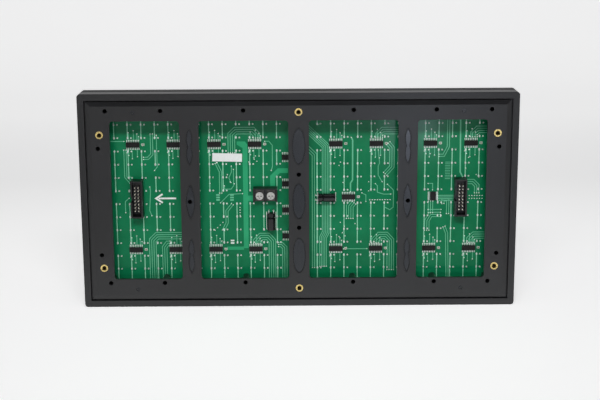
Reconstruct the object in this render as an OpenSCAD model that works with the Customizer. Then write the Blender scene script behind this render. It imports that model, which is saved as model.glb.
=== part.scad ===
// LED panel module with 32 by 16 lamps, seen from its wiring side in normal use.
// X runs along the long side, Z is up, the wiring side faces -Y and the lamps face +Y.
// The origin is at the middle of the bottom edge, halfway through the depth.
// All sizes are in millimetres, and depths are counted from the rear face.

/* [Panel] */
// Width of the panel
panel_w = 320; // [312:1:330]
// Height of the panel
panel_h = 160; // [156:1:166]
// Radius of the four outer corners
case_r = 2.4; // [1:0.1:3]

/* [Rear housing] */
// Width of the raised outer rim
rim_w = 4.8; // [4.2:0.1:5.2]
// Width of the dark slot beside the rim
slot_w = 1; // [0.6:0.1:1.3]
// Depth of that slot
slot_deep = 3.2; // [2:0.1:4]
// Width of the sloping border between the slot and the rear plate
slope_w = 3.3; // [2.4:0.1:3.8]
// How far that border falls towards the slot
slope_drop = 0.8; // [0.4:0.1:1.6]
// Thickness of the rear plate
plate_t = 2.5; // [2:0.1:3.2]
// Depth at which the rear wall ends
wall_deep = 11; // [9:0.5:12]
// Width of the shadow joint between housing and mask
joint_gap = 2; // [1:0.1:2.6]

/* [Windows] */
// Width of the bar in the middle
mid_bar_w = 15; // [13:0.5:17]
// Width of the two other bars
side_bar_w = 14; // [12:0.5:15.5]
// Distance of the outermost windows from the panel's sides
side_margin = 22.8; // [22:0.2:26]
// Distance of the windows from the panel's bottom edge
low_margin = 21.3; // [20.6:0.1:24]
// Distance of the windows from the panel's top edge
top_margin = 20; // [19.2:0.1:24]
// Radius of the windows' corners
window_r = 2.4; // [1:0.1:4]
// Depth of the oval marks on the bars
mark_deep = 0.3; // [0.2:0.1:0.6]
// Depth of the line around each mark
mark_line_deep = 0.9; // [0.7:0.1:1.2]

/* [Fixings] */
// Height of the lowest row of mask screws
screw_low = 18.4; // [17.6:0.1:19]
// Distance of the highest row of mask screws from the top edge
screw_top = 12.5; // [12:0.1:13.4]
// Distance of the outermost mask screws from the sides
screw_side = 14; // [13.2:0.1:14.4]
// Distance of the outer inserts from the sides
insert_side = 15.3; // [14.4:0.1:16]
// Distance of the middle inserts from the top and bottom edges
insert_end = 13.8; // [13.2:0.1:14.6]
// Length of the mask screws under the head
screw_len = 12.2; // [9:0.1:14]
// Radius of the mask screws
screw_r = 1.4; // [1.2:0.05:1.5]
// Radial clearance around the mask screws
screw_gap = 0.2; // [0.1:0.05:0.3]
// Radius, at the plate, of the bosses that take the mask screws
boss_r = 2.8; // [2.5:0.1:3.2]
// Radius of those bosses at the board
boss_tip_r = 2.4; // [2.1:0.1:2.8]
// Radius of the brass inserts
insert_r = 2.75; // [2.4:0.05:3]
// Radius of their threaded bore
thread_r = 1.5; // [1.25:0.05:1.6]
// Length of the brass inserts
insert_len = 7; // [5:0.5:9]

/* [Board and lamps] */
// Depth of the board's wiring side
board_deep = 16.2; // [15.2:0.1:17]
// Thickness of the board
board_t = 1.6; // [1.2:0.1:2]
// Radius of a lamp
lamp_r = 2; // [1.5:0.1:2.2]
// Radial clearance of a lamp in the mask
lamp_gap = 0.3; // [0.2:0.05:0.4]
// Height of a lamp below its dome
lamp_len = 4; // [3.4:0.1:4.4]

/* [Mask] */
// Depth of the mask's front face
mask_deep = 22.5; // [22:0.1:24]
// Thickness of the mask's face
mask_t = 2; // [1.6:0.1:2.4]
// Thickness of the mask's side walls
mask_wall = 1.4; // [1.2:0.1:1.6]
// How far the shade fins stand out
fin_h = 3.1; // [2:0.1:5]
// Thickness of a shade fin
fin_t = 1; // [0.8:0.1:1.3]

/* [Data sockets] */
// Length of a socket
socket_len = 28; // [27:0.1:29]
// Width of a socket
socket_w = 8.9; // [8.4:0.1:9.2]
// Height of a socket
socket_h = 9; // [8.4:0.1:10]
// Thickness of a socket's walls
socket_wall = 1.2; // [0.9:0.1:1.4]

/* [Power terminal] */
// Width of the terminal block
block_w = 17.8; // [17:0.1:18.4]
// Length of the terminal block
block_len = 10.2; // [9.6:0.1:11]
// Height of the terminal block
block_h = 8.4; // [7.6:0.1:10]
// Height of the floor under its screws
block_floor = 4.6; // [4:0.1:5.2]

/* [Capacitors] */
// Radius of the two round capacitors
can_r = 3.2; // [2.8:0.1:3.6]
// Length of the two round capacitors
can_len = 12.8; // [11:0.1:13.6]
// Distance of their rolled groove from the lead end
groove_at = 3.4; // [2.6:0.1:4.2]

/* [Hidden] */
cols = 32;
rows = 16;
pitch_x = panel_w / cols;
pitch_z = panel_h / rows;
depth = mask_deep + fin_h;
rear = -depth / 2;
mid_z = panel_h / 2;
lap = 0.2;
slot_floor = 1.8;
rim_deep = slot_deep + slot_floor;
slope_in = rim_w + slot_w;
plate_in = slope_in + slope_w;
wall_t = 3.2;
tongue_gap = 0.3;
tongue_in = mask_wall + tongue_gap;
tongue_len = 1;
mask_rear = wall_deep + joint_gap;
board_gap = 0.4;
board_in = mask_wall + board_gap;
board_front = board_deep + board_t;
lamp_rise = 0.8;
lamp_base = board_front + lamp_rise;
lead_half = 1.27;
lead_r = 0.28;
lead_gap = 0.12;
dome_r = lamp_r - 0.05;
joint_r = 0.5;
joint_top_r = lead_r + 0.06;
joint_h = 0.7;
joint_gap_r = joint_r + 0.1;
lead_out = 1.5;
lead_tip = board_deep - lead_out;
fin_end = 1.5;
fin_taper = 0.25;
fin_up = 3.8;
hole_r = screw_r + screw_gap;
head_r = 2.25;
head_h = 1.5;
head_gap = 0.3;
head_sink = 1.3;
head_seat = mask_deep - head_sink;
mask_post_r = 2.6;
cross_span = 2.6;
cross_w = 0.6;
cross_deep = 1;
screw_tip = head_seat - screw_len;
insert_fit = 0.03;
insert_wall = 1.4;
insert_cap = 1.4;
lead_in_w = 0.4;
lead_in_deep = 0.3;
bar_x = panel_w / 4 - 0.4;
mark_h = 26.7;
mid_mark_w = 9.8;
side_mark_w = 6.7;
mark_step = 4.1 * pitch_z;
mark_line_w = 0.6;
spindle_w = 4.8;
spindle_h = 16.4;
spindle_step = 5.4;
gate_r = 1.5;
gate_pin_r = 0.6;
gate_deep = 0.5;
gate_end = 13.6;
pin = 0.64;
pin_pitch = 2.54;
pin_hole_r = 0.52;
pin_low = 1;
pin_out = 1;
socket_x = 12 * pitch_x;
socket_floor = 2.5;
key_w = 4.5;
key_floor = 3.2;
key_reach = 2.2 * socket_wall;
block_x = -2.5 * pitch_x;
block_z = mid_z + 2.8;
block_wall = 1.2;
block_back = 1;
cell_w = (block_w - 3 * block_wall) / 2;
cell_x = (cell_w + block_wall) / 2;
cell_deep = board_deep - block_floor;
post_z = block_z - block_back / 2;
post_r = 1.75;
post_gap = 0.1;
post_end = 1.6;
post_head_r = 2.9;
post_head_h = 2.2;
post_cross = 3.8;
post_cross_w = 0.9;
post_cross_deep = 1.2;
clamp_t = 1;
clamp_w = 6;
clamp_len = 8.2;
clamp_deep = cell_deep - clamp_t;
leg_r = 0.6;
leg_gap = 0.1;
leg_in = 1.2;
leg_out = 1.2;
chip_lift = 0.12;
chip_draft = 0.14;
chip_dot_r = 0.4;
chip_dot_in = 0.9;
chip_dot_deep = 0.1;
lead_t = 0.2;
lead_foot = 0.5;
lead_knee = 0.42;
so_w = 3.9;
so_h = 1.6;
so_tip = 3.05;
so_step = 1.27;
so_lead = 0.42;
so16_len = 9.9;
so8_len = 4.9;
ss_w = 4.4;
ss_h = 1.1;
ss_tip = 3.2;
ss_step = 0.65;
ss_lead = 0.24;
ss20_len = 6.5;
sleeve_t = 0.25;
sleeve_lip = 0.7;
groove_deep = 0.45;
groove_half = 0.7;
can_fit = 0.02;
can_in = can_r - sleeve_t - can_fit;
bung_t = 1;
bung_sink = 0.2;
can_deep = board_deep - can_r;
wire = 0.6;
wire_half = 1.75;
wire_reach = 1.8;
wire_hole_r = 0.5;
bulk_x = -2.07 * pitch_x;
bulk_z = mid_z - 11.8;
filter_x = 1.43 * pitch_x;
filter_z = mid_z - 0.3;
bypass_x = 7.4;
bypass_w = 0.8;
bypass_len = 0.9;
bypass_end = 0.4;
label_w = 22;
label_h = 6.2;
label_t = 0.15;

screw_at = concat(
  [for (k = [-14, -10, -4, 4, 10, 14], z = [screw_low, panel_h - screw_top]) [k * pitch_x, z]],
  [for (s = [-1, 1], k = [-4, 4]) [s * (panel_w / 2 - screw_side), mid_z + k * pitch_z]],
  [for (s = [-1, 1]) [s * 8 * pitch_x, mid_z]],
  [for (s = [-1, 1]) [0, mid_z + s * 2 * pitch_z]]
);
insert_at = concat(
  [for (s = [-1, 1], t = [-5, 5]) [s * (panel_w / 2 - insert_side), mid_z + t * pitch_z]],
  [for (s = [-1, 1]) [0, mid_z + s * (mid_z - insert_end)]]
);
driver_x = [for (k = [-12, -9, -6, -3, 3, 6, 10, 13]) (k - 0.25) * pitch_x];
driver_z = [mid_z - 4 * pitch_z, mid_z + 4 * pitch_z];
switch_z = [for (k = [-3, -1, 1, 3]) mid_z + k * pitch_z];
buffer_at = [3.7 * pitch_x, mid_z - 0.3];
decoder_at = [10 * pitch_x, mid_z];
label_at = [-5.3 * pitch_x, mid_z + 3 * pitch_z];
bypass_at = concat(
  [for (x = driver_x, z = driver_z) [x + bypass_x, z]],
  [[buffer_at.x + bypass_x, buffer_at.y]]
);

function lamp_x(i) = (i - (cols - 1) / 2) * pitch_x;
function lamp_z(j) = (j + 0.5) * pitch_z;
function near(v, middle, half) = abs(v - middle) < half + joint_gap_r;
function under_socket(x, z) = near(abs(x), socket_x, socket_w / 2) && near(z, mid_z, socket_len / 2);
function under_block(x, z) = near(x, block_x, block_w / 2) && near(z, block_z, block_len / 2);
function under_bulk(x, z) = near(x, bulk_x, can_r) && near(z, bulk_z - can_len / 2, can_len / 2);
function under_filter(x, z) = near(x, filter_x + can_len / 2, can_len / 2) && near(z, filter_z, can_r);
function covered(x, z) =
  under_socket(x, z) || under_block(x, z) || under_bulk(x, z) || under_filter(x, z);
function oval(w, h) = [for (a = [0:9:351]) [w / 2 * cos(a), h / 2 * sin(a)]];
function lens_x(w, h, z) = sqrt(pow((w * w + h * h) / (4 * w), 2) - z * z) - (h * h - w * w) / (4 * w);
function lens(w, h) = concat(
  [for (k = [-10:10]) [lens_x(w, h, k * h / 20), k * h / 20]],
  [for (k = [9:-1:-9]) [-lens_x(w, h, k * h / 20), k * h / 20]]
);

// A flat shape in X and Z, drawn from one depth to another
module slab(from, to)
  translate([0, rear + to, 0])
    rotate([90, 0, 0])
      linear_extrude(to - from)
        children();

// A round bar along the depth
module rod(x, z, from, to, r)
  translate([x, rear + from, z])
    rotate([-90, 0, 0])
      cylinder(h = to - from, r = r, $fn = 48);

// A tapering round bar along the depth
module cone(x, z, from, to, r_from, r_to)
  translate([x, rear + from, z])
    rotate([-90, 0, 0])
      cylinder(h = to - from, r1 = r_from, r2 = r_to, $fn = 48);

// A block centred on a point in X and Z
module brick(x, z, w, h, from, to)
  translate([x - w / 2, rear + from, z - h / 2])
    cube([w, to - from, h]);

// A profile in depth and height, drawn along X from its middle
module rail(len)
  translate([-len / 2, 0, 0])
    rotate([90, 0, 90])
      linear_extrude(len)
        children();

module rounded(x0, x1, z0, z1, r) {
  translate([x0 + r, z0])
    square([x1 - x0 - 2 * r, z1 - z0]);
  translate([x0, z0 + r])
    square([x1 - x0, z1 - z0 - 2 * r]);
  for (x = [x0 + r, x1 - r], z = [z0 + r, z1 - r])
    translate([x, z])
      circle(r, $fn = 32);
}

module outline()
  rounded(-panel_w / 2, panel_w / 2, 0, panel_h, case_r);

module inset(d)
  translate([d - panel_w / 2, d])
    square([panel_w - 2 * d, panel_h - 2 * d]);

module band(outer, inner)
  difference() {
    inset(outer);
    inset(inner);
  }

module edge_band(inner)
  difference() {
    outline();
    inset(inner);
  }

// The plate's section between two edges, in depth and along the plate, with its sloping borders
function plate_section(low, high) = [
  [0, low + plate_in], [slope_drop, low + slope_in], [plate_t, low + slope_in],
  [plate_t, high - slope_in], [slope_drop, high - slope_in], [0, high - plate_in]
];

module plateau()
  intersection() {
    translate([0, rear, 0])
      rail(panel_w)
        polygon(plate_section(0, panel_h));
    translate([0, rear, 0])
      linear_extrude(panel_h)
        polygon([for (p = plate_section(-panel_w / 2, panel_w / 2)) [p.y, p.x]]);
  }

module windows()
  for (s = [-1, 1]) {
    a = s * mid_bar_w / 2;
    b = s * (bar_x - side_bar_w / 2);
    c = s * (bar_x + side_bar_w / 2);
    d = s * (panel_w / 2 - side_margin);
    top = panel_h - top_margin;
    rounded(min(a, b), max(a, b), low_margin, top, window_r);
    rounded(min(c, d), max(c, d), low_margin, top, window_r);
  }

// The marks on the three bars, drawn in by d: ovals, and between spindles of two lenses a single lens
module marks(d) {
  for (k = [-1, 0, 1])
    translate([0, mid_z + k * mark_step])
      polygon(oval(mid_mark_w - 2 * d, mark_h - 2 * d));
  for (s = [-1, 1])
    translate([s * bar_x, mid_z]) {
      polygon(lens(side_mark_w - 2 * d, mark_h - 4 * d));
      for (t = [-1, 1], u = [-1, 1])
        translate([0, t * mark_step + u * spindle_step])
          polygon(lens(spindle_w - 2 * d, spindle_h - 4 * d));
    }
}

// A moulding gate: a shallow ring around a small pin
module gate(x, z)
  difference() {
    rod(x, z, -1, gate_deep, gate_r);
    rod(x, z, -2, gate_deep + 1, gate_pin_r);
  }

module rear_housing()
  color([0.2, 0.2, 0.21])
    difference() {
      union() {
        slab(0, rim_deep)
          edge_band(rim_w);
        slab(slot_deep, rim_deep)
          band(rim_w - lap, slope_in + lap);
        slab(slope_drop, rim_deep)
          band(slope_in, plate_in + lap);
        difference() {
          plateau();
          slab(-1, plate_t + 1)
            windows();
        }
        slab(rim_deep - lap, wall_deep)
          edge_band(wall_t);
        slab(wall_deep - lap, mask_rear + tongue_len)
          band(tongue_in, wall_t);
        for (p = screw_at)
          cone(p.x, p.y, plate_t - lap, board_deep, boss_r, boss_tip_r);
        for (p = insert_at)
          rod(p.x, p.y, plate_t - lap, insert_len + insert_cap, insert_r + insert_wall);
      }
      for (p = screw_at)
        rod(p.x, p.y, -1, board_deep + 1, hole_r);
      for (p = insert_at)
        rod(p.x, p.y, -1, insert_len, insert_r + insert_fit);
      slab(-1, mark_deep)
        marks(0);
      slab(-1, mark_line_deep)
        difference() {
          marks(0);
          marks(mark_line_w);
        }
      for (s = [-1, 1], z = [gate_end, panel_h - gate_end])
        gate(s * 12 * pitch_x, z);
    }

module brass_inserts()
  color([0.85, 0.7, 0.35])
    for (p = insert_at)
      difference() {
        rod(p.x, p.y, 0, insert_len, insert_r);
        rod(p.x, p.y, -1, insert_len + 1, thread_r);
        cone(p.x, p.y, -lead_in_deep, lead_in_deep, thread_r + 2 * lead_in_w, thread_r);
      }

// A hole right through the board
module via(x, z, r)
  rod(x, z, board_deep - 1, board_front + 1, r);

module circuit_board()
  color([0.05, 0.45, 0.25])
    difference() {
      slab(board_deep, board_front)
        inset(board_in);
      for (i = [0:cols - 1], j = [0:rows - 1], s = [-1, 1])
        via(lamp_x(i) + s * lead_half, lamp_z(j), lead_r + lead_gap);
      for (p = screw_at)
        via(p.x, p.y, hole_r);
      for (s = [-1, 1], k = [-3.5:3.5], t = [-0.5, 0.5])
        via(s * socket_x + t * pin_pitch, mid_z + k * pin_pitch, pin_hole_r);
      for (s = [-1, 1]) {
        via(block_x + s * cell_x, post_z, leg_r + leg_gap);
        via(bulk_x + s * wire_half, bulk_z + wire_reach, wire_hole_r);
        via(filter_x - wire_reach, filter_z + s * wire_half, wire_hole_r);
      }
    }

module lamp()
  rotate([-90, 0, 0]) {
    cylinder(r = lamp_r, h = lamp_len, $fn = 32);
    translate([0, 0, lamp_len])
      sphere(r = dome_r, $fn = 32);
  }

module lamps()
  color([0.75, 0.1, 0.08])
    for (i = [0:cols - 1], j = [0:rows - 1])
      translate([lamp_x(i), rear + lamp_base, lamp_z(j)])
        lamp();

module lamp_lead(x, z)
  if (covered(x, z)) {
    rod(x, z, board_deep, lamp_base, lead_r);
  } else {
    rod(x, z, lead_tip, lamp_base, lead_r);
    cone(x, z, board_deep - joint_h, board_deep, joint_top_r, joint_r);
  }

module lamp_leads()
  color([0.82, 0.82, 0.8])
    for (i = [0:cols - 1], j = [0:rows - 1], s = [-1, 1])
      lamp_lead(lamp_x(i) + s * lead_half, lamp_z(j));

module fin(z)
  translate([0, rear, z])
    rail(panel_w - 2 * fin_end)
      polygon([
        [mask_deep - lap, -fin_t / 2],
        [mask_deep + fin_h, -fin_t / 2 + fin_taper],
        [mask_deep + fin_h, fin_t / 2],
        [mask_deep - lap, fin_t / 2]
      ]);

module front_mask()
  color([0.07, 0.07, 0.07])
    difference() {
      union() {
        slab(mask_rear, mask_deep - mask_t + lap)
          edge_band(mask_wall);
        slab(mask_deep - mask_t, mask_deep)
          outline();
        for (j = [0:rows - 1])
          fin(lamp_z(j) + fin_up);
        for (p = screw_at)
          rod(p.x, p.y, board_front, mask_deep - mask_t + lap, mask_post_r);
      }
      for (i = [0:cols - 1], j = [0:rows - 1])
        rod(lamp_x(i), lamp_z(j), mask_deep - mask_t - 1, mask_deep + 1, lamp_r + lamp_gap);
      for (p = screw_at) {
        rod(p.x, p.y, board_front - 1, mask_deep, hole_r);
        rod(p.x, p.y, head_seat, depth + 1, head_r + head_gap);
      }
    }

module cross_cut(x, z, from, to, span, w) {
  brick(x, z, span, w, from, to);
  brick(x, z, w, span, from, to);
}

module mask_screws()
  color([0.12, 0.12, 0.12])
    for (p = screw_at)
      difference() {
        union() {
          rod(p.x, p.y, screw_tip, head_seat + lap, screw_r);
          rod(p.x, p.y, head_seat, head_seat + head_h, head_r);
        }
        cross_cut(p.x, p.y, head_seat + head_h - cross_deep, depth, cross_span, cross_w);
      }

// A shrouded two-row socket with a keying notch in its left wall
module socket_shroud(x)
  difference() {
    brick(x, mid_z, socket_w, socket_len, board_deep - socket_h, board_deep);
    brick(x, mid_z, socket_w - 2 * socket_wall, socket_len - 2 * socket_wall,
      board_deep - socket_h - 1, board_deep - socket_floor);
    brick(x - socket_w / 2, mid_z, key_reach, key_w,
      board_deep - socket_h - 1, board_deep - key_floor);
    for (k = [-3.5:3.5], t = [-0.5, 0.5])
      brick(x + t * pin_pitch, mid_z + k * pin_pitch, pin, pin, board_deep - socket_h, board_deep + 1);
  }

module socket_pins(x)
  for (k = [-3.5:3.5], t = [-0.5, 0.5])
    brick(x + t * pin_pitch, mid_z + k * pin_pitch, pin, pin,
      board_deep - socket_h + pin_low, board_front + pin_out);

module data_in_shroud()
  color([0.08, 0.08, 0.08])
    socket_shroud(socket_x);

module data_in_pins()
  color([0.8, 0.72, 0.45])
    socket_pins(socket_x);

module data_out_shroud()
  color([0.08, 0.08, 0.08])
    socket_shroud(-socket_x);

module data_out_pins()
  color([0.8, 0.72, 0.45])
    socket_pins(-socket_x);

module terminal_block()
  color([0.06, 0.06, 0.06])
    difference() {
      brick(block_x, block_z, block_w, block_len, board_deep - block_h, board_deep);
      for (s = [-1, 1]) {
        brick(block_x + s * cell_x, block_z - block_back, cell_w, block_len,
          board_deep - block_h - 1, cell_deep);
        rod(block_x + s * cell_x, post_z, cell_deep - 1, board_deep - post_end, post_r + post_gap);
        rod(block_x + s * cell_x, post_z, board_deep - leg_in, board_deep + 1, leg_r + leg_gap);
      }
    }

module terminal_plates()
  color([0.78, 0.78, 0.76])
    for (s = [-1, 1])
      difference() {
        brick(block_x + s * cell_x, post_z, clamp_w, clamp_len, clamp_deep, cell_deep);
        rod(block_x + s * cell_x, post_z, 0, board_deep, post_r + post_gap);
      }

module terminal_screws()
  color([0.82, 0.82, 0.8])
    for (s = [-1, 1])
      difference() {
        union() {
          rod(block_x + s * cell_x, post_z, clamp_deep - post_head_h, clamp_deep, post_head_r);
          rod(block_x + s * cell_x, post_z, clamp_deep - lap, board_deep - post_end, post_r);
        }
        cross_cut(block_x + s * cell_x, post_z, 0, clamp_deep - post_head_h + post_cross_deep,
          post_cross, post_cross_w);
      }

module terminal_legs()
  color([0.78, 0.78, 0.76])
    for (s = [-1, 1])
      rod(block_x + s * cell_x, post_z, board_deep - leg_in, board_front + leg_out, leg_r);

// A flat chip lying on the board, its length along X
module chip_body(len, w, h)
  difference() {
    rail(len)
      polygon([
        [-chip_lift, w / 2 - chip_draft],
        [-0.42 * h, w / 2],
        [-0.68 * h, w / 2],
        [-h, w / 2 - chip_draft],
        [-h, chip_draft - w / 2],
        [-0.68 * h, -w / 2],
        [-0.42 * h, -w / 2],
        [-chip_lift, chip_draft - w / 2]
      ]);
    translate([chip_dot_in - len / 2, chip_dot_deep - h, chip_dot_in - w / 2])
      rotate([90, 0, 0])
        cylinder(r = chip_dot_r, h = h, $fn = 24);
  }

// Its bent leads, in two rows
module chip_leads(w, h, tip, count, step, lead_w)
  for (turn = [0, 180], k = [0:count - 1])
    rotate([0, turn, 0])
      translate([(k - (count - 1) / 2) * step, 0, 0])
        rail(lead_w)
          polygon([
            [-0.55 * h - lead_t / 2, w / 2],
            [-0.55 * h - lead_t / 2, w / 2 + lead_knee],
            [-lead_t, tip - lead_foot],
            [-lead_t, tip],
            [0, tip],
            [0, tip - lead_foot - lead_t / 2],
            [-0.55 * h + lead_t / 2, w / 2 + lead_knee - lead_t],
            [-0.55 * h + lead_t / 2, w / 2]
          ]);

module on_board(x, z)
  translate([x, rear + board_deep, z])
    children();

module driver_chips()
  color([0.1, 0.1, 0.1])
    for (x = driver_x, z = driver_z)
      on_board(x, z)
        chip_body(so16_len, so_w, so_h);

module driver_leads()
  color([0.78, 0.78, 0.76])
    for (x = driver_x, z = driver_z)
      on_board(x, z)
        chip_leads(so_w, so_h, so_tip, 8, so_step, so_lead);

module buffer_chip()
  color([0.1, 0.1, 0.1])
    on_board(buffer_at.x, buffer_at.y)
      chip_body(so16_len, so_w, so_h);

module buffer_leads()
  color([0.78, 0.78, 0.76])
    on_board(buffer_at.x, buffer_at.y)
      chip_leads(so_w, so_h, so_tip, 8, so_step, so_lead);

module decoder_chip()
  color([0.1, 0.1, 0.1])
    on_board(decoder_at.x, decoder_at.y)
      rotate([0, 90, 0])
        chip_body(ss20_len, ss_w, ss_h);

module decoder_leads()
  color([0.78, 0.78, 0.76])
    on_board(decoder_at.x, decoder_at.y)
      rotate([0, 90, 0])
        chip_leads(ss_w, ss_h, ss_tip, 10, ss_step, ss_lead);

module switch_chips()
  color([0.1, 0.1, 0.1])
    for (z = switch_z)
      on_board(-pitch_x, z)
        chip_body(so8_len, so_w, so_h);

module switch_leads()
  color([0.78, 0.78, 0.76])
    for (z = switch_z)
      on_board(-pitch_x, z)
        chip_leads(so_w, so_h, so_tip, 4, so_step, so_lead);

// Places a part at each round capacitor: its axis is local Z, and its leads are at the top
module at_cans() {
  translate([bulk_x, rear + can_deep, bulk_z])
    children();
  translate([filter_x, rear + can_deep, filter_z])
    rotate([0, -90, 0])
      children();
}

// A cylinder along local Z, from one height to another
module drum(r, from, to)
  translate([0, 0, from])
    cylinder(r = r, h = to - from, $fn = 48);

// The cut of the rolled groove into a drum of radius r
module groove(r)
  translate([0, 0, -groove_at])
    rotate_extrude($fn = 48)
      polygon([
        [r - groove_deep, 0],
        [r + groove_deep, 2 * groove_half],
        [r + groove_deep, -2 * groove_half]
      ]);

module can_sleeves()
  color([0.08, 0.08, 0.09])
    at_cans()
      difference() {
        drum(can_r, -can_len, 0);
        groove(can_r);
        drum(can_r - sleeve_t - sleeve_lip, -can_len - 1, 1);
        difference() {
          drum(can_r - sleeve_t, sleeve_t - can_len, 1);
          groove(can_r - sleeve_t);
        }
      }

module cans()
  color([0.75, 0.76, 0.78])
    at_cans()
      difference() {
        drum(can_in, sleeve_t - can_len, -bung_t - bung_sink);
        groove(can_in);
      }

module can_bungs()
  color([0.1, 0.1, 0.1])
    at_cans()
      drum(can_in, -bung_t - bung_sink, -bung_sink);

// One bent wire: out of the bung along local Z, then down through the board
module can_lead(side) {
  translate([side * wire_half - wire / 2, -wire / 2, -bung_sink])
    cube([wire, wire, wire_reach + bung_sink + wire / 2]);
  translate([side * wire_half - wire / 2, -wire / 2, wire_reach - wire / 2])
    cube([wire, can_r + board_t + pin_out, wire]);
}

module can_leads()
  color([0.78, 0.78, 0.76])
    at_cans()
      for (s = [-1, 1])
        can_lead(s);

module bypass_chips()
  color([0.62, 0.52, 0.4])
    for (p = bypass_at)
      brick(p.x, p.y, bypass_w, bypass_len, board_deep - bypass_w, board_deep);

module bypass_ends()
  color([0.8, 0.8, 0.78])
    for (p = bypass_at, s = [-1, 1])
      brick(p.x, p.y + s * (bypass_len + bypass_end) / 2, bypass_w, bypass_end,
        board_deep - bypass_w, board_deep);

module paper_label()
  color([0.93, 0.93, 0.91])
    translate([label_at.x, rear + board_deep - label_t, label_at.y])
      rotate([0, 1.5, 0])
        translate([-label_w / 2, 0, -label_h / 2])
          cube([label_w, label_t, label_h]);

rear_housing();
brass_inserts();
circuit_board();
lamps();
lamp_leads();
front_mask();
mask_screws();
data_in_shroud();
data_in_pins();
data_out_shroud();
data_out_pins();
terminal_block();
terminal_plates();
terminal_screws();
terminal_legs();
driver_chips();
driver_leads();
buffer_chip();
buffer_leads();
decoder_chip();
decoder_leads();
switch_chips();
switch_leads();
can_sleeves();
cans();
can_bungs();
can_leads();
bypass_chips();
bypass_ends();
paper_label();
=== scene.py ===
import math
import bpy
from mathutils import Matrix, Vector


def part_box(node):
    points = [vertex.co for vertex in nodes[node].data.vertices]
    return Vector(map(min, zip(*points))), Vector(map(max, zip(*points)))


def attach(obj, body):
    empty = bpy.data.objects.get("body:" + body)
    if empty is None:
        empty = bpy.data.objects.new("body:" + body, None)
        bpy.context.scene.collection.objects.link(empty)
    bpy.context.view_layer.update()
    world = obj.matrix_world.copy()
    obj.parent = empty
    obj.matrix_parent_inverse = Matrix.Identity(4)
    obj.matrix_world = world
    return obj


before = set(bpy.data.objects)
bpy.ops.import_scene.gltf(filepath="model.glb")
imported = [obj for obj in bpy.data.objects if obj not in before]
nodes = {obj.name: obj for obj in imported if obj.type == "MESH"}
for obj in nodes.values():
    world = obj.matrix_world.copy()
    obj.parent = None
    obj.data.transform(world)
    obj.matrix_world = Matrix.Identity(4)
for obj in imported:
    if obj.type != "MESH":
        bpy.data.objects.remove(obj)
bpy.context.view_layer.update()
scene = bpy.context.scene
scene.view_settings.view_transform = "Standard"
print("frame loaded:", len(nodes), "nodes")

mm = 0.001
panelLow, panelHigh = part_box("front_mask")
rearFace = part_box("rear_housing")[0].y
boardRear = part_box("circuit_board")[0].y  # the wiring side of the board, towards the camera
grid = {"columns": 32, "rows": 16, "leadHalf": 1.27 * mm, "group": 4}
pitchX = (panelHigh.x - panelLow.x) / grid["columns"]
pitchZ = (panelHigh.z - panelLow.z) / grid["rows"]


# Small tools

# An sRGB hex colour as linear values
def linear(hexColour):
    channels = [int(hexColour[i:i + 2], 16) / 255 for i in (1, 3, 5)]
    return [c / 12.92 if c <= 0.04045 else ((c + 0.055) / 1.055) ** 2.4 for c in channels] + [1.0]


def perMetre(sizeMm):
    return 1000 / sizeMm


# Adds a node, sets its options and fills its inputs with values or links
def addNode(tree, kind, options=None, **inputs):
    node = tree.nodes.new("ShaderNode" + kind)
    for name, value in (options or {}).items():
        setattr(node, name, value)
    for name, value in inputs.items():
        socket = node.inputs[int(name[1:])] if name[1:].isdigit() else node.inputs[name.replace("_", " ")]
        if isinstance(value, bpy.types.NodeSocket):
            tree.links.new(value, socket)
        else:
            socket.default_value = value
    return node


def newMaterial(name, **shaderInputs):
    material = bpy.data.materials.new(name)
    material.use_nodes = True
    tree = material.node_tree
    tree.nodes.clear()
    shader = addNode(tree, "BsdfPrincipled", None, **shaderInputs)
    addNode(tree, "OutputMaterial", None, Surface=shader.outputs["BSDF"])
    place = addNode(tree, "TexCoord").outputs["Object"]
    return material, tree, shader, place


# Two colours mixed by a factor socket, wholly the first below low and wholly the second above high
def mixColours(tree, factor, dark, light, low=0.3, high=0.7):
    ramp = addNode(tree, "ValToRGB", None, Fac=factor)
    first, second = ramp.color_ramp.elements
    first.color, second.color = linear(dark), linear(light)
    first.position, second.position = low, high
    return ramp.outputs["Color"]


def addPiece(name, points, faces, material, slot, smooth=False):
    mesh = bpy.data.meshes.new(name)
    mesh.from_pydata(points, [], faces)
    mesh.validate()
    mesh.polygons.foreach_set("use_smooth", [smooth] * len(mesh.polygons))
    mesh.materials.append(material)
    piece = bpy.data.objects.new(name, mesh)
    scene.collection.objects.link(piece)
    if slot:
        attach(piece, "root")
    return piece


# Camera, at the height and lean of the shot

shot = {
    "distance": 0.9293,  # from the rear face
    "aside": -0.0028,
    "height": 0.2906,
    "down": 12.71,  # degrees
    "turn": 0.22,
    "lean": -0.30,
    "lens": 77.9,
    "clipStart": 0.01,
}


def addCamera():
    down, turn, lean = (math.radians(shot[k]) for k in ("down", "turn", "lean"))
    ahead = Vector((math.sin(turn) * math.cos(down), math.cos(turn) * math.cos(down), -math.sin(down)))
    level = Vector((math.cos(turn), -math.sin(turn), 0))
    upright = level.cross(ahead)
    right = level * math.cos(lean) + upright * math.sin(lean)
    up = upright * math.cos(lean) - level * math.sin(lean)
    data = bpy.data.cameras.new("camera")
    data.lens = shot["lens"]
    data.clip_start = shot["clipStart"]
    camera = bpy.data.objects.new("camera", data)
    camera.matrix_world = Matrix((right, up, -ahead)).transposed().to_4x4()
    camera.location = (shot["aside"], rearFace - shot["distance"], shot["height"])
    scene.collection.objects.link(camera)
    scene.camera = camera


addCamera()
print("camera placed")


# Studio: a pale paper sweep under soft boxes, in a room that is bright low down and dim above

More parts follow.
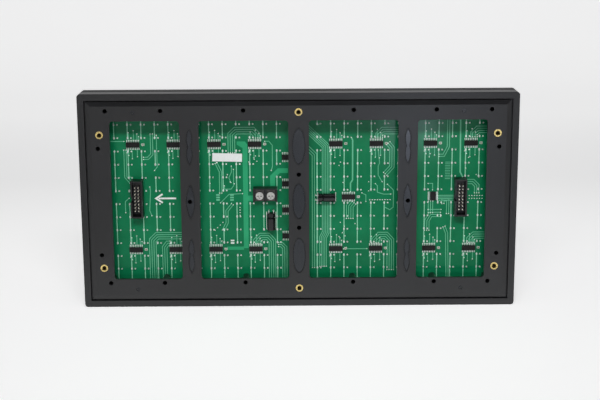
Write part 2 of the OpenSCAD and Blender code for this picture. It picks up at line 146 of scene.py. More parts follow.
studio = {
    "paperDark": "#e4e4e5",
    "paperLight": "#e9e9e8",
    "cloudMm": 400,
    "glow": "#ffffff",
    "sky": "#f4f6fa",
    "skyLow": 0.3,
    "skyHigh": 0.08,
    "skyFrom": 0.02,  # where the room starts to dim, as a share of straight up
    "skyTo": 0.2,
    "front": -3.0,
    "bend": 1.1,  # where the sweep starts to rise
    "bendRadius": 0.8,
    "bendSteps": 24,
    "top": 2.6,
    "halfWidth": 3.0,
    # paleness added to the paper by depth, for the camera alone
    "seen": {-0.2: 0.48, 0.0: 0.5, 0.2: 0.53, 0.45: 0.51, 0.9: 0.66, 1.4: 0.72, 1.9: 0.76},
    # and a glow for mirrors alone: painted reflection, pale and dark bands by depth that only the object's
    # reflections show
    "mirrored": {-0.9: 1.2, -0.5: 0.0, -0.4: 0.0, -0.1: 0.52, 0.05: 0.52, 0.25: 0.16, 1.2: 0.16, 1.7: 0.5},
}
softBoxes = {
    # the main light, shaded by flags so that it isn't mirrored
    "frontal": {"at": (0.0, -1.1, 0.97), "aim": (0, 0.1, 0.05), "size": (0.9, 0.2), "spread": 60, "watts": 1.65,
                "colour": "#ffffff", "mirrored": False},
    "low": {"at": (0.0, -0.6, 0.05), "aim": (0, 0, 0.08), "size": (0.5, 0.05), "spread": 50, "watts": 0.07,
            "colour": "#ffffff", "mirrored": False},
    "top": {"at": (0.0, -0.25, 1.3), "aim": (0, 0, 0), "size": (0.8, 0.5), "spread": 180, "watts": 1.4,
            "colour": "#ffffff", "mirrored": True},
    "card": {"at": (0.139, -0.6, 0.03), "aim": (0.09, 0, 0.12), "size": (0.062, 0.06), "spread": 180, "watts": 0.11,
             "colour": "#dce8ff", "mirrored": True},
}


# A value that follows stops along another value
def followStops(tree, value, stops):
    places = sorted(stops)
    share = addNode(tree, "MapRange", None, Value=value, From_Min=places[0], From_Max=places[-1])
    ramp = addNode(tree, "ValToRGB", None, Fac=share.outputs[0])
    elements = ramp.color_ramp.elements
    for k, place in enumerate(places):
        position = (place - places[0]) / (places[-1] - places[0])
        stop = elements[0] if k == 0 else elements[-1] if k == len(places) - 1 else elements.new(position)
        stop.position = position
        stop.color = [stops[place]] * 3 + [1.0]
    return ramp.outputs["Color"]


def addStudio():
    # White drawing paper, uncoated: no gloss, a slight unevenness
    paper, tree, shader, place = newMaterial("uncoatedPaperSweep", Roughness=0.95, Specular_IOR_Level=0.1)
    cloud = addNode(tree, "TexNoise", None, Vector=place, Scale=perMetre(studio["cloudMm"]), Detail=2.0)
    tone = mixColours(tree, cloud.outputs["Fac"], studio["paperDark"], studio["paperLight"])
    tree.links.new(tone, shader.inputs["Base Color"])
    back = addNode(tree, "SeparateXYZ", None, Vector=place).outputs["Y"]
    rays = addNode(tree, "LightPath").outputs
    # Painted reflection: glossy rays see the paper glow after the mirrored stops, the camera sees the paleness above
    mirrored = addNode(tree, "Math", {"operation": "MULTIPLY"}, _0=followStops(tree, back, studio["mirrored"]),
                       _1=rays["Is Glossy Ray"])
    pale = addNode(tree, "Math", {"operation": "MULTIPLY_ADD"}, _0=followStops(tree, back, studio["seen"]),
                   _1=rays["Is Camera Ray"], _2=mirrored.outputs[0])
    shader.inputs["Emission Color"].default_value = linear(studio["glow"])
    tree.links.new(pale.outputs[0], shader.inputs["Emission Strength"])
    profile = [(studio["front"], 0.0), (studio["bend"], 0.0)]
    steps = studio["bendSteps"]
    for k in range(1, steps + 1):
        angle = math.pi / 2 * k / steps
        profile.append((studio["bend"] + studio["bendRadius"] * math.sin(angle),
                        studio["bendRadius"] * (1 - math.cos(angle))))
    profile.append((studio["bend"] + studio["bendRadius"], studio["top"]))
    points = [(s * studio["halfWidth"], y, z) for y, z in profile for s in (-1, 1)]
    faces = [(2 * k, 2 * k + 1, 2 * k + 3, 2 * k + 2) for k in range(len(profile) - 1)]
    addPiece("paperSweep", points, faces, paper, None, smooth=True)

    world = bpy.data.worlds.new("studioSky")
    world.use_nodes = True
    room = world.node_tree
    direction = addNode(room, "TexCoord").outputs["Generated"]
    height = addNode(room, "SeparateXYZ", None, Vector=direction).outputs["Z"]
    glow = addNode(room, "MapRange", None, Value=height, From_Min=studio["skyFrom"], From_Max=studio["skyTo"],
                   To_Min=studio["skyLow"], To_Max=studio["skyHigh"])
    sky = room.nodes["Background"]
    sky.inputs["Color"].default_value = linear(studio["sky"])
    room.links.new(glow.outputs[0], sky.inputs["Strength"])
    scene.world = world
    for name, box in softBoxes.items():
        light = bpy.data.lights.new(name, "AREA")
        light.shape = "RECTANGLE"
        light.size, light.size_y = box["size"]
        light.spread = math.radians(box["spread"])
        light.energy = box["watts"]
        light.color = linear(box["colour"])[:3]
        lamp = bpy.data.objects.new(name, light)
        lamp.location = box["at"]
        lamp.rotation_euler = (Vector(box["aim"]) - Vector(box["at"])).to_track_quat("-Z", "Y").to_euler()
        lamp.visible_glossy = box["mirrored"]
        lamp.visible_camera = False
        scene.collection.objects.link(lamp)


addStudio()
print("studio lit")


# Materials, each named for what it is and how its surface was made

# ABS, moulded in a fine spark-eroded tool: near black, half gloss, with faint flow clouds and soft edges.
# The grain is about 0.2 mm, drawn at 0.9 mm because finer grain would not show.
def mouldedAbs():
    look = {"dark": "#161617", "light": "#1e1e20", "markSheenTint": "#171b22", "flowMm": 45, "grainMm": 0.9,
            "edgeMm": 0.35, "markFrom": 0.15, "markTo": 0.6, "level": -0.99, "roughLow": 0.3, "roughHigh": 0.42,
            "markSmoother": -0.1, "grainDeepMm": 0.03}
    material, tree, shader, place = newMaterial("mouldedAbs", IOR=1.54)
    flow = addNode(tree, "TexNoise", None, Vector=place, Scale=perMetre(look["flowMm"]), Detail=4.0, Roughness=0.6)
    tone = mixColours(tree, flow.outputs["Fac"], look["dark"], look["light"])
    # The sunk marks on the bars are level faces with a smoother finish, told by their depth below the rear face.
    # Their bluish colour is a painted sheen.
    depth = addNode(tree, "SeparateXYZ", None, Vector=place).outputs["Y"]
    facing = addNode(tree, "NewGeometry").outputs["True Normal"]
    facing = addNode(tree, "SeparateXYZ", None, Vector=facing).outputs["Y"]
    below = addNode(tree, "Math", {"operation": "GREATER_THAN"}, _0=depth, _1=rearFace + look["markFrom"] * mm)
    above = addNode(tree, "Math", {"operation": "LESS_THAN"}, _0=depth, _1=rearFace + look["markTo"] * mm)
    level = addNode(tree, "Math", {"operation": "LESS_THAN"}, _0=facing, _1=look["level"])
    mark = addNode(tree, "Math", {"operation": "MULTIPLY"}, _0=below.outputs[0], _1=above.outputs[0])
    mark = addNode(tree, "Math", {"operation": "MULTIPLY"}, _0=mark.outputs[0], _1=level.outputs[0]).outputs[0]
    # Painted sheen: the marks get a bluish colour in place of the bluish light they reflect
    mixed = addNode(tree, "Mix", {"data_type": "RGBA"}, _0=mark, _6=tone, _7=linear(look["markSheenTint"]))
    tree.links.new(mixed.outputs[2], shader.inputs["Base Color"])
    gloss = addNode(tree, "MapRange", None, Value=flow.outputs["Fac"],
                    To_Min=look["roughLow"], To_Max=look["roughHigh"])
    smoother = addNode(tree, "Math", {"operation": "MULTIPLY_ADD"}, _0=mark, _1=look["markSmoother"],
                       _2=gloss.outputs[0])
    tree.links.new(smoother.outputs[0], shader.inputs["Roughness"])
    soft = addNode(tree, "Bevel", {"samples": 4}, Radius=look["edgeMm"] * mm)
    grain = addNode(tree, "TexNoise", None, Vector=place, Scale=perMetre(look["grainMm"]), Detail=2.0)
    bump = addNode(tree, "Bump", None, Strength=0.25, Distance=look["grainDeepMm"] * mm,
                   Height=grain.outputs["Fac"], Normal=soft.outputs[0])
    tree.links.new(bump.outputs[0], shader.inputs["Normal"])
    return material


# Polycarbonate, moulded matt to keep sunlight off the lamps: deep black, almost no shine
def mouldedMask():
    look = {"dark": "#131314", "light": "#1b1b1c", "grainMm": 0.7, "grainDeepMm": 0.04}
    material, tree, shader, place = newMaterial("mouldedPolycarbonate", Roughness=0.55, IOR=1.58)
    grain = addNode(tree, "TexNoise", None, Vector=place, Scale=perMetre(look["grainMm"]), Detail=3.0)
    tone = mixColours(tree, grain.outputs["Fac"], look["dark"], look["light"])
    tree.links.new(tone, shader.inputs["Base Color"])
    bump = addNode(tree, "Bump", None, Strength=0.35, Distance=look["grainDeepMm"] * mm,
                   Height=grain.outputs["Fac"])
    tree.links.new(bump.outputs[0], shader.inputs["Normal"])
    return material


# Glass cloth board under green lacquer, curtain coated and cured: deep colour, thin clear gloss, slight ripple.
# The cloth's threads are about 0.5 mm apart, drawn at 1.4 mm so that they show.
def lacqueredBoard(name, dark, light):
    look = {"cloudMm": 22, "weaveMm": 1.4, "weaveDeepMm": 0.02, "waveTurn": 20, "rippleMm": 5, "rippleDeepMm": 0.05}
    material, tree, shader, place = newMaterial(name, Roughness=0.4, IOR=1.5, Specular_IOR_Level=0.05,
                                                Coat_Weight=0.2, Coat_Roughness=0.12, Coat_IOR=1.5)
    cloud = addNode(tree, "TexNoise", None, Vector=place, Scale=perMetre(look["cloudMm"]), Detail=4.0)
    tone = mixColours(tree, cloud.outputs["Fac"], dark, light)
    tree.links.new(tone, shader.inputs["Base Color"])
    # A wave texture turns through 20 radians in a unit, and the cloth repeats at every second thread
    weave = []
    for axis in ("X", "Z"):
        weave.append(addNode(tree, "TexWave", {"bands_direction": axis}, Vector=place,
                             Scale=perMetre(look["weaveMm"]) / look["waveTurn"] * math.pi, Distortion=0.6))
    cloth = addNode(tree, "Math", {"operation": "ADD"}, _0=weave[0].outputs["Fac"], _1=weave[1].outputs["Fac"])
    ripple = addNode(tree, "TexNoise", None, Vector=place, Scale=perMetre(look["rippleMm"]), Detail=2.0)
    under = addNode(tree, "Bump", None, Strength=0.1, Distance=look["weaveDeepMm"] * mm, Height=cloth.outputs[0])
    over = addNode(tree, "Bump", None, Strength=0.2, Distance=look["rippleDeepMm"] * mm,
                   Height=ripple.outputs["Fac"])
    tree.links.new(under.outputs[0], shader.inputs["Normal"])
    tree.links.new(over.outputs[0], shader.inputs["Coat Normal"])
    return material


# Metal, with a cloudy change of tone and shine: turned brass, plated steel, and solder whose pale half-matt colour is
# partly a painted highlight
def cloudyMetal(name, dark, light, roughLow, roughHigh, cloudMm, bumpMm, bare=1.0):
    material, tree, shader, place = newMaterial(name, Metallic=bare)
    cloud = addNode(tree, "TexNoise", None, Vector=place, Scale=perMetre(cloudMm), Detail=3.0)
    tone = mixColours(tree, cloud.outputs["Fac"], dark, light)
    tree.links.new(tone, shader.inputs["Base Color"])
    gloss = addNode(tree, "MapRange", None, Value=cloud.outputs["Fac"], To_Min=roughLow, To_Max=roughHigh)
    tree.links.new(gloss.outputs[0], shader.inputs["Roughness"])
    bump = addNode(tree, "Bump", None, Strength=0.3, Distance=bumpMm * mm, Height=cloud.outputs["Fac"])
    tree.links.new(bump.outputs[0], shader.inputs["Normal"])
    return material


# Plastic, resin, rubber, ceramic, ink or paper: a fine speckle in tone, shine and height
def speckled(name, dark, light, roughness, ior, speckMm, bumpMm, spread=0.06):
    material, tree, shader, place = newMaterial(name, IOR=ior)
    speck = addNode(tree, "TexNoise", None, Vector=place, Scale=perMetre(speckMm), Detail=3.0)
    tone = mixColours(tree, speck.outputs["Fac"], dark, light)
    tree.links.new(tone, shader.inputs["Base Color"])
    gloss = addNode(tree, "MapRange", None, Value=speck.outputs["Fac"],
                    To_Min=roughness - spread, To_Max=roughness + spread)
    tree.links.new(gloss.outputs[0], shader.inputs["Roughness"])
    bump = addNode(tree, "Bump", None, Strength=0.3, Distance=bumpMm * mm, Height=speck.outputs["Fac"])
    tree.links.new(bump.outputs[0], shader.inputs["Normal"])
    return material


# Epoxy, cast round the lamp's die and dyed through: glossy, light passes into it
def castEpoxy():
    look = {"dark": "#8c0f0c", "light": "#b5150f", "cloudMm": 3}
    material, tree, shader, place = newMaterial("dyedCastEpoxy", Roughness=0.12, IOR=1.53,
                                                Transmission_Weight=0.25)
    cloud = addNode(tree, "TexNoise", None, Vector=place, Scale=perMetre(look["cloudMm"]), Detail=1.0)
    tone = mixColours(tree, cloud.outputs["Fac"], look["dark"], look["light"])
    tree.links.new(tone, shader.inputs["Base Color"])
    return material


housing = mouldedAbs()
mask = mouldedMask()
lacquer = lacqueredBoard("lacqueredGlassBoard", "#0a6e45", "#117d51")
lacquerOnCopper = lacqueredBoard("lacquerOverCopper", "#5cb58b", "#74c49f")
# The links' pale mint is partly copper under lacquer and partly a painted highlight for the light caught on their
# ridges
lacquerOnLinks = lacqueredBoard("lacquerOverCopperWithPaintedSheen", "#84cfaa", "#9bdcbb")
lacquerOnPlane = lacqueredBoard("lacquerOverBroadCopper", "#2a9c6a", "#35a876")
# The solder's near-white, greenish, partly matt colour is partly a painted highlight in place of the glints the
# unmirrored main light leaves out
solder = cloudyMetal("dippedSolderWithPaintedGlint", "#eaf2ec", "#f8fdf9", 0.45, 0.62, 0.8, 0.02, bare=0.4)
tinned = cloudyMetal("tinnedLeadFrame", "#e2e4e1", "#f3f5f2", 0.4, 0.55, 0.6, 0.01, bare=0.6)
# The clamp plates' dark grey is painted shade, standing in for the shade inside the terminal's cells around the screw
# heads
shadedPlates = cloudyMetal("zincPlateInPaintedShade", "#53524f", "#6d6b67", 0.3, 0.45, 1.2, 0.01)
brass = cloudyMetal("turnedBrass", "#d9bd6f", "#efd998", 0.2, 0.34, 0.9, 0.01)
nickel = cloudyMetal("nickelPlatedSteel", "#cfcec9", "#e2e1dc", 0.2, 0.3, 3.0, 0.005)
blackened = cloudyMetal("blackenedSteel", "#1c1c1e", "#2b2b2e", 0.35, 0.5, 0.8, 0.01)
aluminium = cloudyMetal("drawnAluminium", "#bfc1c4", "#d6d8da", 0.24, 0.36, 1.5, 0.01)
# The pins' pale, half-matt colour is a painted highlight: gold made near white to stand in for the light caught on
# the pin tips
gilded = cloudyMetal("gildedPinsWithPaintedGlint", "#e9e2cf", "#f7f2e4", 0.25, 0.38, 0.5, 0.01, bare=0.5)
# Glass-filled nylon, moulded: black with a dry shine
nylon = speckled("mouldedNylon", "#0d0d0e", "#151517", 0.42, 1.53, 0.8, 0.02)
# Epoxy resin with silica, moulded on the lead frame: charcoal, matt from the mould's blasted face
resin = speckled("mouldedChipResin", "#0d0b0b", "#141211", 0.66, 1.55, 0.6, 0.02)
# PVC film, shrunk on: black and glossy, drawn tight
film = speckled("shrunkPvcFilm", "#0c0d0f", "#131416", 0.2, 1.53, 2.0, 0.01)
# Butyl rubber, pressed: dull black
rubber = speckled("pressedRubber", "#161616", "#1f1f1f", 0.7, 1.52, 0.5, 0.02)
# Barium titanate, fired: tan, slightly glossy
ceramic = speckled("firedCeramic", "#8d7556", "#a48b69", 0.35, 1.6, 0.5, 0.01)
# Label paper, coated and left bare: white with a soft sheen
paper = speckled("coatedLabelPaper", "#e9ebe9", "#f2f3f2", 0.48, 1.5, 1.5, 0.01)
# Screen printed ink: flat white with a slightly uneven coat
ink = speckled("screenPrintedInk", "#e4e8e4", "#f4f6f3", 0.6, 1.5, 0.5, 0.01)
epoxy = castEpoxy()

finishes = {
    "rear_housing": housing, "front_mask": mask, "circuit_board": lacquer, "brass_inserts": brass,
    "lamps": epoxy, "lamp_leads": solder, "mask_screws": blackened,
    "data_in_shroud": nylon, "data_out_shroud": nylon, "data_in_pins": gilded, "data_out_pins": gilded,
    "terminal_block": nylon, "terminal_plates": shadedPlates, "terminal_screws": nickel, "terminal_legs": tinned,
    "driver_chips": resin, "buffer_chip": resin, "decoder_chip": resin, "switch_chips": resin,
    "driver_leads": tinned, "buffer_leads": tinned, "decoder_leads": tinned, "switch_leads": tinned,
    "can_sleeves": film, "cans": aluminium, "can_bungs": rubber, "can_leads": tinned,
    "bypass_chips": ceramic, "bypass_ends": tinned, "paper_label": paper,
}
for name, node in nodes.items():
    node.data.materials.clear()
    node.data.materials.append(finishes[name])
print("materials on", len(finishes), "nodes")


# The separate solids of a node, as their lowest and highest corners

def solids(name):
    mesh = nodes[name].data
    keys = [tuple(round(c * 1e6) for c in v.co) for v in mesh.vertices]  # corners are one within a micrometre
    parent = {k: k for k in keys}

    def root(k):
        while parent[k] != k:
            parent[k] = parent[parent[k]]
            k = parent[k]
        return k

    for edge in mesh.edges:
        a, b = (root(keys[i]) for i in edge.vertices)
        parent[a] = b
    boxes = {}
    for key, vertex in zip(keys, mesh.vertices):
        low, high = boxes.setdefault(root(key), (vertex.co.copy(), vertex.co.copy()))
        low[:] = map(min, low, vertex.co)
        high[:] = map(max, high, vertex.co)
    return list(boxes.values())


# Flat forms on the board: outlines in X and Z, raised towards the camera and sunk a little. Each stands one small
# step higher than the last, over and over, so that forms that cross seldom share a face.

layers = {"sunk": 0.02, "steps": 7, "step": 0.002}


class Flats:
    def __init__(self, rise):
        self.points = []
        self.faces = []
        self.top = boardRear - rise * mm
        self.drawn = 0
        self.foot = boardRear + layers["sunk"] * mm

    def outline(self, corners):
        n = len(corners)
        start = len(self.points)
        top = self.top - self.drawn % layers["steps"] * layers["step"] * mm
        self.drawn += 1
        self.points += [(x, top, z) for x, z in corners] + [(x, self.foot, z) for x, z in corners]
        self.faces.append([start + k for k in range(n)])
        self.faces.append([start + n + k for k in reversed(range(n))])
        for k in range(n):
            after = (k + 1) % n
            self.faces.append((start + after, start + k, start + n + k, start + n + after))

    # A path of even width, mitred at its bends
    def path(self, corners, width):
        left, right = shifted(corners, width / 2), shifted(corners, -width / 2)
        self.outline(right + left[::-1])

    def oval(self, x, z, halfWidth, halfHeight, sides=14):
        turn = 2 * math.pi / sides
        self.outline([(x + halfWidth * math.cos(k * turn), z + halfHeight * math.sin(k * turn))
                      for k in range(sides)])


# The same path moved sideways, to its left where the distance is positive
def shifted(corners, distance):
    moved = []
    for k, (x, z) in enumerate(corners):
        sides = []
        for a, b in ((k - 1, k), (k, k + 1)):
            if 0 <= a and b < len(corners):
                run = Vector(corners[b]) - Vector(corners[a])
                sides.append(Vector((-run.y, run.x)).normalized())
        mitre = sides[0] if len(sides) == 1 else (sides[0] + sides[1]) / (1 + sides[0].dot(sides[1]))
        moved.append((x + mitre.x * distance, z + mitre.y * distance))
    return moved


# The outer side of a path's bends: 1 for its left, -1 for its right
def outerSide(corners):
    turn = 0
    for a, b, c in zip(corners, corners[1:], corners[2:]):
        turn += (b[0] - a[0]) * (c[1] - b[1]) - (b[1] - a[1]) * (c[0] - b[0])
    return -1 if turn > 0 else 1


# Copper tracks under the lacquer. Places are in lamp pitches, across from the middle and up from the bottom.

tracks = {"rise": 0.06, "linkRise": 0.045, "planeRise": 0.03, "thin": 0.5, "link": 0.65, "wide": 1.0, "gap": 1.65,
          "closeGap": 1.25, "close": ("band", "bus"), "viaRadius": 0.38, "viaRise": 0.09}
bundles = {
    # left outer window
    "leftStub": (1, [(-14.2, 12.25), (-12.9, 12.25)]),
    "leftLoop": (2, [(-11.5, 11.05), (-11.2, 11.05), (-10.95, 11.3), (-10.95, 12.8)]),
    "leftDrop": (1, [(-10.5, 12.7), (-10.5, 10.3), (-10.7, 10.05)]),
    "leftFeed": (3, [(-12.6, 11.6), (-12.6, 9.65), (-12.3, 9.3)]),
    "arrowSide": (1, [(-11.1, 8.8), (-11.05, 8.5), (-11.15, 7.0), (-11.0, 6.6)]),
    "outFeed": (1, [(-12.65, 7.95), (-12.95, 7.7), (-12.95, 6.85)]),
    "leftLow": (4, [(-10.75, 1.6), (-10.75, 4.6), (-10.55, 4.8), (-8.2, 4.8)]),
    "leftLower": (3, [(-9.95, 1.6), (-9.95, 4.1), (-9.8, 4.3), (-9.7, 4.3)]),
    # left inner window
    "hood": (4, [(-3.35, 12.45), (-3.35, 12.6), (-3.5, 12.76), (-4.55, 12.76), (-4.72, 12.6), (-4.72, 11.35)]),
    "hook": (1, [(-2.04, 10.0), (-1.95, 10.3), (-1.95, 11.9), (-2.2, 12.2), (-2.5, 12.2)]),
    "padFeed": (2, [(-6.2, 10.55), (-5.9, 9.9), (-5.9, 8.3)]),
    "step": (1, [(-5.0, 10.35), (-5.0, 9.9), (-5.2, 9.45), (-5.05, 9.1)]),
    "cup": (1, [(-5.55, 8.85), (-5.55, 8.6), (-5.05, 8.6), (-4.85, 8.85), (-4.85, 10.1)]),
    "slope": (1, [(-5.85, 7.55), (-5.2, 8.2), (-4.2, 8.25)]),
    "stair": (2, [(-4.9, 7.4), (-5.3, 6.9), (-5.3, 6.0), (-5.6, 5.4)]),
    "lowFan": (4, [(-2.93, 4.4), (-2.93, 4.5), (-2.75, 4.7), (-2.44, 4.7), (-2.26, 4.5), (-2.26, 1.6)]),
    "lowSide": (3, [(-1.55, 4.15), (-1.4, 4.15), (-1.25, 4.0), (-1.25, 1.6)]),
    # right inner window
    "leftRun": (3, [(0.3, 11.8), (1.0, 11.1), (1.0, 2.5)]),
    "band": (5, [(-0.1, 13.5), (1.75, 11.7), (1.75, 5.3), (1.55, 4.9), (1.55, 2.6)]),
    "topNest": (4, [(6.2, 12.45), (6.2, 12.55), (6.35, 12.7), (7.4, 12.7)]),
    "sideRun": (3, [(6.5, 11.9), (6.75, 11.6), (6.75, 10.3), (6.3, 9.8)]),
    "kink": (1, [(5.9, 11.5), (6.0, 10.5), (5.9, 10.3), (5.9, 9.6), (6.2, 9.1)]),
    "sill": (1, [(5.7, 8.95), (5.85, 8.8), (5.85, 8.3), (6.3, 8.15), (6.85, 8.15)]),
    "ear": (1, [(6.6, 8.9), (7.05, 8.45), (7.05, 7.15), (6.8, 6.95), (6.4, 7.15), (6.4, 7.5)]),
    "crook": (1, [(4.7, 8.25), (5.0, 8.1), (5.0, 7.6)]),
    "underBuffer": (4, [(4.05, 6.3), (4.05, 7.15), (4.25, 7.4)]),
    "rightFan": (4, [(5.95, 4.4), (5.95, 4.5), (6.15, 4.72), (6.42, 4.72), (6.62, 4.5), (6.62, 2.3)]),
    "lowLine": (1, [(3.35, 3.95), (5.1, 3.95)]),
    # right outer window
    "shepherd": (2, [(11.0, 14.2), (11.0, 11.75), (10.7, 11.15), (10.4, 11.15)]),
    "cornerNest": (4, [(13.2, 12.45), (13.2, 12.6), (13.35, 12.75), (14.0, 12.75)]),
    "bus": (4, [(10.35, 7.65), (11.6, 7.65)]),
    "curl": (3, [(12.5, 8.9), (12.9, 8.9), (13.1, 8.7), (13.1, 8.2)]),
    "underDecoder": (3, [(10.0, 6.7), (10.0, 7.6)]),
    "rungLow": (1, [(9.66, 6.95), (10.63, 6.95)]),
    "rungHigh": (1, [(9.63, 8.94), (9.97, 8.94), (9.97, 8.45)]),
    "socketSide": (2, [(10.84, 7.4), (10.84, 7.6), (11.04, 7.6), (11.04, 6.63)]),
    "bow": (3, [(9.75, 5.35), (9.75, 6.05), (9.95, 6.4), (10.6, 6.4)]),
    "fall": (2, [(10.8, 5.6), (11.0, 5.1), (11.1, 1.6)]),
    "farFan": (4, [(13.1, 4.4), (13.1, 4.55), (13.25, 4.7), (14.0, 4.7)]),
}
thickRuns = {
    "bufferRun": [(3.9, 12.45), (4.0, 12.25), (4.0, 9.25), (3.85, 9.0), (3.85, 8.35)],
    "dataRun": [(11.95, 14.2), (12.0, 9.8), (12.2, 9.4)],
}
looseVias = [(-6.6, 9.05), (-5.3, 9.7), (-5.1, 9.15), (-4.8, 9.0), (-3.2, 11.1), (-3.3, 10.85), (-3.1, 10.7),
             (-3.7, 10.65), (-3.65, 9.05), (-6.1, 10.6), (-4.4, 7.2), (-4.4, 7.0), (-4.4, 6.8), (-4.4, 6.6),
             (-6.3, 5.45), (-6.1, 5.65), (-5.9, 5.85), (-5.7, 6.05), (2.95, 12.0), (3.1, 10.6), (3.0, 10.35),
             (5.35, 10.3), (6.0, 10.9), (5.2, 9.1), (5.2, 8.4), (3.3, 9.05), (3.1, 6.0), (3.4, 5.7), (3.25, 5.2),
             (3.45, 4.95), (4.2, 5.9), (3.0, 4.9), (13.4, 9.4), (12.4, 10.1), (13.2, 9.6), (12.6, 10.9), (9.75, 11.2)]
# The supply rail: broad copper from the terminal up and down the board
rail = {"width": 3.6, "x": -3.97, "low": 4.05, "high": 11.95, "cap": 0.25, "hook": 0.6, "branch": 2.5,
        "branchEnd": 1.45, "arm": 0.5, "armLow": 7.7, "armHigh": 8.1,
        "bend": [(-0.8, 9.98), (-1.48, 9.98), (-1.95, 9.52), (-1.95, 8.8)]}


def onBoard(places):
    return [(x * pitchX, z * pitchZ) for x, z in places]


def crosses(a, b, c, d):
    def side(p, q, r):
        return (q[0] - p[0]) * (r[1] - p[1]) - (q[1] - p[1]) * (r[0] - p[0])
    return side(a, b, c) * side(a, b, d) < 0 and side(c, d, a) * side(c, d, b) < 0


def addTracks():
    copper, links, plane = (Flats(tracks[k]) for k in ("rise", "linkRise", "planeRise"))
    vias = Flats(tracks["viaRise"])
    viaRadius = tracks["viaRadius"] * mm
    drawn = []
    for name, (count, places) in bundles.items():
        base = onBoard(places)
        gap = (tracks["closeGap"] if name in tracks["close"] else tracks["gap"]) * mm
        for k in range(count):
            drawn.append((shifted(base, outerSide(base) * k * gap), tracks["thin"] * mm))
    for places in thickRuns.values():
        drawn.append((onBoard(places), tracks["wide"] * mm))
    for path, width in drawn:
        copper.path(path, width)
        for x, z in (path[0], path[-1]):
            vias.oval(x, z, viaRadius, viaRadius)
    for x, z in onBoard(looseVias):
        vias.oval(x, z, viaRadius, viaRadius)
    railArm = onBoard(rail["bend"])
    routes = [railArm] + [path for path, width in drawn]
    legs = [leg for route in routes for leg in zip(route, route[1:])]
    # Each output joins four lamps of a column. A link that a track crosses runs on the other side of the board.
    for column in range(grid["columns"]):
        x = (column + 0.5) * pitchX + panelLow.x - grid["leadHalf"]
        for row in range(grid["rows"] - 1):
            if row % grid["group"] == grid["group"] - 1:
                continue
            low, high = ((r + 0.5) * pitchZ + panelLow.z for r in (row, row + 1))
            if not any(crosses((x, low), (x, high), a, b) for a, b in legs):
                links.path([(x, low), (x, high)], tracks["link"] * mm)
    # Supply rail with its branches
    x, low, high = rail["x"], rail["low"], rail["high"]
    half = rail["width"] / 2 * mm / pitchX
    cap, hook, arm = rail["cap"], x - rail["hook"], x + half + rail["arm"]
    plane.outline(onBoard([(x - half, low), (x + half, low), (x + half, high), (x, high + cap),
                           (hook, high + cap), (hook, high), (x - half, high - cap)]))
    plane.path(onBoard([(x - half, low), (x - rail["branchEnd"], low)]), rail["branch"] * mm)
    plane.outline(onBoard([(x + half, rail["armLow"]), (arm, rail["armLow"]),
                           (arm, rail["armHigh"]), (x + half, rail["armHigh"])]))
    plane.path(railArm, rail["width"] * mm)
    addPiece("boardTracks", copper.points, copper.faces, lacquerOnCopper, "board")
    addPiece("lampLinks", links.points, links.faces, lacquerOnLinks, "board")
    addPiece("supplyRail", plane.points, plane.faces, lacquerOnPlane, "board")
    addPiece("boardVias", vias.points, vias.faces, solder, "tinned_metal")
    print("tracks:", len(drawn), "paths")


# Solder lands under every joint and chip lead, a short stub with a via from some driver leads, and empty footprints

lands = {"rise": 0.1, "roundRadius": 0.6, "tallHalf": 1.0, "leadWidth": 0.62, "fineWidth": 0.4, "leadAhead": 0.6,
         "leadUnder": 0.2,  # share of a lead's half length that its land runs back under it
         "showsFrom": 0.1,  # how far a joint stands out of the board before it gets a land
         "stubs": (0, 5.4, 0, 0, 6.8, 0, 4.4, 2.4)}
emptyPads = {"bars": {(-6.03, 7.97): 3, (-4.99, 7.96): 3, (-5.0, 4.55): 2},
             "bare": 2,  # the number of bars of a footprint that lacquer leaves bare
             "width": 2.7, "height": 1.2, "step": 1.9}
ladder = {"x": (10.87, 11.26), "low": 9.3, "high": 10.55, "rungs": 11}
viaGrid = {"left": 12.72, "right": 13.68, "low": 7.78, "high": 8.0, "columns": 6}


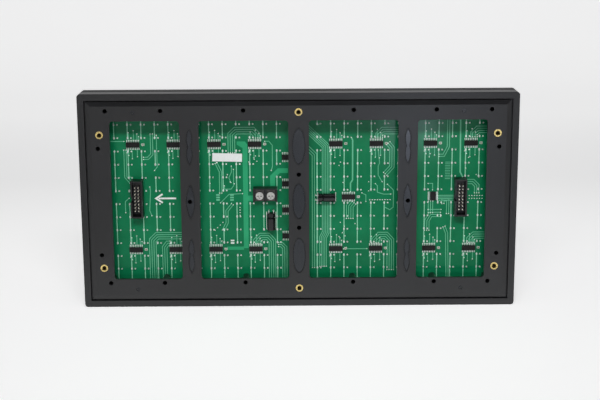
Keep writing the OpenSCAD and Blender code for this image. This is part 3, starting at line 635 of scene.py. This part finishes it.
def addLands():
    pads, stubs, vias = Flats(lands["rise"]), Flats(tracks["rise"]), Flats(tracks["viaRise"])
    radius = lands["roundRadius"] * mm
    for low, high in solids("lamp_leads"):
        if low.y < boardRear - lands["showsFrom"] * mm:
            x, z = (low.x + high.x) / 2, (low.z + high.z) / 2
            linked = ((x - panelLow.x) / pitchX) % 1 < 0.5  # the left lead of a lamp
            pads.oval(x, z, radius, lands["tallHalf"] * mm if linked else radius)
    for chips, leads in (("driver_chips", "driver_leads"), ("buffer_chip", "buffer_leads"),
                         ("decoder_chip", "decoder_leads"), ("switch_chips", "switch_leads")):
        centres = [(low + high) / 2 for low, high in solids(chips)]
        width = (lands["fineWidth"] if chips == "decoder_chip" else lands["leadWidth"]) * mm
        for count, (low, high) in enumerate(solids(leads)):
            middle = (low + high) / 2
            chip = min(centres, key=lambda c: (c - middle).length)
            along = Vector((0, 0, 1)) if high.z - low.z > high.x - low.x else Vector((1, 0, 0))
            away = along * (1 if (middle - chip).dot(along) > 0 else -1)
            reach = abs((high - low).dot(along)) / 2
            start = middle - away * (reach * lands["leadUnder"])
            end = middle + away * (reach + lands["leadAhead"] * mm)
            pads.path([(start.x, start.z), (end.x, end.z)], width)
            stub = lands["stubs"][count % len(lands["stubs"])] * mm
            if chips == "driver_chips" and stub:
                far = end + away * stub
                stubs.path([(end.x, end.z), (far.x, far.z)], tracks["thin"] * mm)
                vias.oval(far.x, far.z, tracks["viaRadius"] * mm, tracks["viaRadius"] * mm)
    half = emptyPads["width"] / 2 * mm
    for place, bars in emptyPads["bars"].items():
        x, z = onBoard([place])[0]
        for k in range(bars):
            level = z + (k - (bars - 1) / 2) * emptyPads["step"] * mm
            form = pads if bars == emptyPads["bare"] else stubs
            form.path([(x - half, level), (x + half, level)], emptyPads["height"] * mm)
    for k in range(ladder["rungs"]):
        z = ladder["low"] + (ladder["high"] - ladder["low"]) * k / (ladder["rungs"] - 1)
        stubs.path(onBoard([(ladder["x"][0], z), (ladder["x"][1], z)]), lands["fineWidth"] * mm)
    for k in range(viaGrid["columns"]):
        x = viaGrid["left"] + (viaGrid["right"] - viaGrid["left"]) * k / (viaGrid["columns"] - 1)
        for px, pz in onBoard([(x, viaGrid["low"]), (x, viaGrid["high"])]):
            vias.oval(px, pz, tracks["viaRadius"] * mm, tracks["viaRadius"] * mm)
    addPiece("solderLands", pads.points, pads.faces, solder, "tinned_metal")
    addPiece("leadStubs", stubs.points, stubs.faces, lacquerOnCopper, "board")
    addPiece("stubVias", vias.points, vias.faces, solder, "tinned_metal")


addTracks()
addLands()
print("board drawn")


# White print: an arrow that shows which way the data runs, lines beside the capacitors and a row of dashes

arrow = {"tail": -9.16, "tip": -10.66, "z": 7.92, "shaft": 1.3, "shaftEnd": 0.2, "barbX": 0.5, "barbZ": 0.33}
prints = {"rise": 0.05, "line": 0.35, "canGap": 0.35, "bypassGap": 0.45}
dashes = {"left": 5.25, "right": 6.95, "z": 7.72, "count": 9, "share": 0.5, "height": 0.5}


def addPrint():
    shape = Flats(prints["rise"])
    x, z = arrow["tip"], arrow["z"]
    shape.path(onBoard([(arrow["tail"], z), (x + arrow["shaftEnd"], z)]), arrow["shaft"] * mm)
    shape.path(onBoard([(x + arrow["barbX"], z + arrow["barbZ"]), (x, z), (x + arrow["barbX"], z - arrow["barbZ"])]),
               arrow["shaft"] * mm)
    addPiece("dataArrow", shape.points, shape.faces, ink, "label_paper")
    lines = Flats(prints["rise"])
    for node, gap in (("can_sleeves", prints["canGap"] * mm), ("bypass_chips", prints["bypassGap"] * mm)):
        for low, high in solids(node):
            for side in (low.x - gap, high.x + gap):
                lines.path([(side, low.z - gap), (side, high.z + gap)], prints["line"] * mm)
    # A printed line of small marks, drawn as plain dashes
    step = (dashes["right"] - dashes["left"]) / dashes["count"]
    for k in range(dashes["count"]):
        x = dashes["left"] + k * step
        lines.path(onBoard([(x, dashes["z"]), (x + step * dashes["share"], dashes["z"])]), dashes["height"] * mm)
    addPiece("printedOutlines", lines.points, lines.faces, ink, "label_paper")


addPrint()
